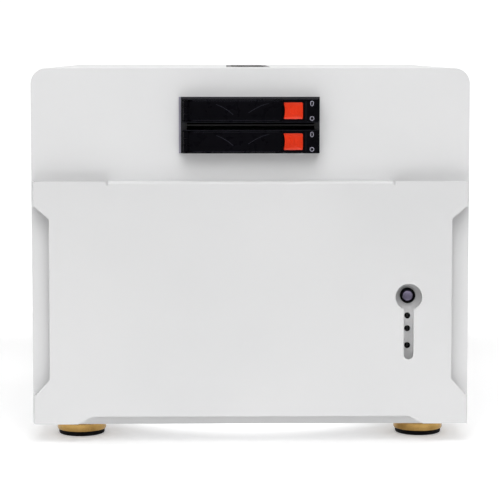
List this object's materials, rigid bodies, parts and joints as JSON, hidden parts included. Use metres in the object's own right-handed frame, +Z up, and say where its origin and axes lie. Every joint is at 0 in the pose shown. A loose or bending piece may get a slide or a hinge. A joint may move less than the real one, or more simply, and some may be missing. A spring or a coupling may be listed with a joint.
{
  "type": "nas enclosure",
  "caption": "White folded-steel desktop storage server case with a pull-off drive door, a two-tray front module and gold-ringed feet",
  "frame": {"origin": "on the floor under the middle of the case's overall width and depth", "axes": "+Z up, front facing -Y, +X to the right seen from the front"},
  "size_m": [0.34, 0.358, 0.291],
  "materials": {
    "white_paint": "fine textured powder coat",
    "zinc_steel": "zinc-plated sheet",
    "black_plastic": "satin moulded",
    "grey_plastic": "satin moulded",
    "red_plastic": "semi-gloss moulded",
    "gold_metal": "gold anodised, turned",
    "rubber": "matt",
    "circuit_board": "solder mask",
    "smoked_lens": "smoked, polished",
    "magnet": "nickel plated",
    "button_metal": "anodised",
    "black_metal": "black coat"
  },
  "bodies": {
    "chassis": {"front_plate": "white_paint", "top_cover": "white_paint", "base_pan": "white_paint", "rear_panel": "white_paint", "motherboard_deck": "white_paint", "top_vent": "black_plastic", "slot_retainer": "zinc_steel", "power_button_bezel": "black_metal", "status_light_pipe": "smoked_lens", "drive_guide_lower": "zinc_steel", "drive_guide_upper": "zinc_steel", "drive_cage_wall_left": "zinc_steel", "drive_cage_wall_right": "zinc_steel", "hdd_backplane": "circuit_board", "ssd_backplane": "circuit_board", "ssd_cage": "black_metal", "slot_cover_1": "zinc_steel", "slot_cover_2": "zinc_steel", "slot_cover_3": "zinc_steel", "slot_cover_4": "zinc_steel", "foot_ring_front_left": "gold_metal", "foot_pad_front_left": "rubber", "foot_ring_front_right": "gold_metal", "foot_pad_front_right": "rubber", "foot_ring_rear_left": "gold_metal", "foot_pad_rear_left": "rubber", "foot_ring_rear_right": "gold_metal", "foot_pad_rear_right": "rubber", "fan_frame_1": "black_plastic", "fan_guard_1": "black_metal", "fan_frame_2": "black_plastic", "fan_guard_2": "black_metal"},
    "door": {"door_panel": "white_paint", "door_magnet_left": "magnet", "door_magnet_right": "magnet"},
    "power_button": {"power_button_cap": "button_metal"},
    "hdd_tray_1": {"hdd_tray_1": "black_plastic"},
    "hdd_latch_1": {"hdd_latch_1": "grey_plastic"},
    "hdd_tray_2": {"hdd_tray_2": "black_plastic"},
    "hdd_latch_2": {"hdd_latch_2": "grey_plastic"},
    "hdd_tray_3": {"hdd_tray_3": "black_plastic"},
    "hdd_latch_3": {"hdd_latch_3": "grey_plastic"},
    "hdd_tray_4": {"hdd_tray_4": "black_plastic"},
    "hdd_latch_4": {"hdd_latch_4": "grey_plastic"},
    "hdd_tray_5": {"hdd_tray_5": "black_plastic"},
    "hdd_latch_5": {"hdd_latch_5": "grey_plastic"},
    "hdd_tray_6": {"hdd_tray_6": "black_plastic"},
    "hdd_latch_6": {"hdd_latch_6": "grey_plastic"},
    "hdd_tray_7": {"hdd_tray_7": "black_plastic"},
    "hdd_latch_7": {"hdd_latch_7": "grey_plastic"},
    "hdd_tray_8": {"hdd_tray_8": "black_plastic"},
    "hdd_latch_8": {"hdd_latch_8": "grey_plastic"},
    "ssd_tray_1": {"ssd_tray_1": "black_plastic"},
    "ssd_lever_1": {"ssd_lever_1": "black_plastic"},
    "ssd_button_1": {"ssd_release_button_1": "red_plastic"},
    "ssd_tray_2": {"ssd_tray_2": "black_plastic"},
    "ssd_lever_2": {"ssd_lever_2": "black_plastic"},
    "ssd_button_2": {"ssd_release_button_2": "red_plastic"},
    "fan_rotor_1": {"fan_rotor_1": "black_plastic"},
    "fan_rotor_2": {"fan_rotor_2": "black_plastic"}
  },
  "joints": [
    {"name": "door_pull", "type": "slide", "parent": "chassis", "child": "door", "axis": [0, -1, 0], "range_m": [0, 0.25]},
    {"name": "power_press", "type": "slide", "parent": "chassis", "child": "power_button", "axis": [0, 1, 0], "range_m": [0, 0.0015], "stiffness_N_per_m": 800},
    {"name": "hdd_tray_1_slide", "type": "slide", "parent": "chassis", "child": "hdd_tray_1", "axis": [0, -1, 0], "range_m": [0, 0.12]},
    {"name": "hdd_latch_1_hinge", "type": "hinge", "parent": "hdd_tray_1", "child": "hdd_latch_1", "pos_m": [-0.1348, -0.1667, 0.1655], "axis": [-1, 0, 0], "range_deg": [0, 50]},
    {"name": "hdd_tray_2_slide", "type": "slide", "parent": "chassis", "child": "hdd_tray_2", "axis": [0, -1, 0], "range_m": [0, 0.12]},
    {"name": "hdd_latch_2_hinge", "type": "hinge", "parent": "hdd_tray_2", "child": "hdd_latch_2", "pos_m": [-0.1024, -0.1667, 0.1655], "axis": [-1, 0, 0], "range_deg": [0, 50]},
    {"name": "hdd_tray_3_slide", "type": "slide", "parent": "chassis", "child": "hdd_tray_3", "axis": [0, -1, 0], "range_m": [0, 0.12]},
    {"name": "hdd_latch_3_hinge", "type": "hinge", "parent": "hdd_tray_3", "child": "hdd_latch_3", "pos_m": [-0.07, -0.1667, 0.1655], "axis": [-1, 0, 0], "range_deg": [0, 50]},
    {"name": "hdd_tray_4_slide", "type": "slide", "parent": "chassis", "child": "hdd_tray_4", "axis": [0, -1, 0], "range_m": [0, 0.12]},
    {"name": "hdd_latch_4_hinge", "type": "hinge", "parent": "hdd_tray_4", "child": "hdd_latch_4", "pos_m": [-0.0376, -0.1667, 0.1655], "axis": [-1, 0, 0], "range_deg": [0, 50]},
    {"name": "hdd_tray_5_slide", "type": "slide", "parent": "chassis", "child": "hdd_tray_5", "axis": [0, -1, 0], "range_m": [0, 0.12]},
    {"name": "hdd_latch_5_hinge", "type": "hinge", "parent": "hdd_tray_5", "child": "hdd_latch_5", "pos_m": [-0.0052, -0.1667, 0.1655], "axis": [-1, 0, 0], "range_deg": [0, 50]},
    {"name": "hdd_tray_6_slide", "type": "slide", "parent": "chassis", "child": "hdd_tray_6", "axis": [0, -1, 0], "range_m": [0, 0.12]},
    {"name": "hdd_latch_6_hinge", "type": "hinge", "parent": "hdd_tray_6", "child": "hdd_latch_6", "pos_m": [0.0272, -0.1667, 0.1655], "axis": [-1, 0, 0], "range_deg": [0, 50]},
    {"name": "hdd_tray_7_slide", "type": "slide", "parent": "chassis", "child": "hdd_tray_7", "axis": [0, -1, 0], "range_m": [0, 0.12]},
    {"name": "hdd_latch_7_hinge", "type": "hinge", "parent": "hdd_tray_7", "child": "hdd_latch_7", "pos_m": [0.0596, -0.1667, 0.1655], "axis": [-1, 0, 0], "range_deg": [0, 50]},
    {"name": "hdd_tray_8_slide", "type": "slide", "parent": "chassis", "child": "hdd_tray_8", "axis": [0, -1, 0], "range_m": [0, 0.12]},
    {"name": "hdd_latch_8_hinge", "type": "hinge", "parent": "hdd_tray_8", "child": "hdd_latch_8", "pos_m": [0.092, -0.1667, 0.1655], "axis": [-1, 0, 0], "range_deg": [0, 50]},
    {"name": "ssd_tray_1_slide", "type": "slide", "parent": "chassis", "child": "ssd_tray_1", "axis": [0, -1, 0], "range_m": [0, 0.1]},
    {"name": "ssd_lever_1_hinge", "type": "hinge", "parent": "ssd_tray_1", "child": "ssd_lever_1", "pos_m": [-0.0497, -0.1754, 0.25845], "axis": [0, 0, -1], "range_deg": [0, 75]},
    {"name": "ssd_button_1_press", "type": "slide", "parent": "ssd_tray_1", "child": "ssd_button_1", "axis": [0, 1, 0], "range_m": [0, 0.0015], "stiffness_N_per_m": 600},
    {"name": "ssd_tray_2_slide", "type": "slide", "parent": "chassis", "child": "ssd_tray_2", "axis": [0, -1, 0], "range_m": [0, 0.1]},
    {"name": "ssd_lever_2_hinge", "type": "hinge", "parent": "ssd_tray_2", "child": "ssd_lever_2", "pos_m": [-0.0497, -0.1754, 0.23465], "axis": [0, 0, -1], "range_deg": [0, 75]},
    {"name": "ssd_button_2_press", "type": "slide", "parent": "ssd_tray_2", "child": "ssd_button_2", "axis": [0, 1, 0], "range_m": [0, 0.0015], "stiffness_N_per_m": 600},
    {"name": "fan_1_spin", "type": "hinge", "parent": "chassis", "child": "fan_rotor_1", "pos_m": [-0.087, 0.158, 0.104], "axis": [0, 1, 0], "continuous": true},
    {"name": "fan_2_spin", "type": "hinge", "parent": "chassis", "child": "fan_rotor_2", "pos_m": [0.037, 0.158, 0.104], "axis": [0, 1, 0], "continuous": true}
  ],
  "couplings": [
    {"joint": "hdd_tray_1_slide", "follows": "door_pull", "ratio": 0.4799},
    {"joint": "hdd_latch_1_hinge", "follows": "door_pull", "rad_per_m": 3.49},
    {"joint": "hdd_tray_2_slide", "follows": "door_pull", "ratio": 0.4799},
    {"joint": "hdd_latch_2_hinge", "follows": "door_pull", "rad_per_m": 3.49},
    {"joint": "hdd_tray_3_slide", "follows": "door_pull", "ratio": 0.4799},
    {"joint": "hdd_latch_3_hinge", "follows": "door_pull", "rad_per_m": 3.49},
    {"joint": "hdd_tray_4_slide", "follows": "door_pull", "ratio": 0.4799},
    {"joint": "hdd_latch_4_hinge", "follows": "door_pull", "rad_per_m": 3.49},
    {"joint": "hdd_tray_5_slide", "follows": "door_pull", "ratio": 0.4799},
    {"joint": "hdd_latch_5_hinge", "follows": "door_pull", "rad_per_m": 3.49},
    {"joint": "hdd_tray_6_slide", "follows": "door_pull", "ratio": 0.4799},
    {"joint": "hdd_latch_6_hinge", "follows": "door_pull", "rad_per_m": 3.49},
    {"joint": "hdd_tray_7_slide", "follows": "door_pull", "ratio": 0.4799},
    {"joint": "hdd_latch_7_hinge", "follows": "door_pull", "rad_per_m": 3.49},
    {"joint": "hdd_tray_8_slide", "follows": "door_pull", "ratio": 0.4799},
    {"joint": "hdd_latch_8_hinge", "follows": "door_pull", "rad_per_m": 3.49}
  ]
}
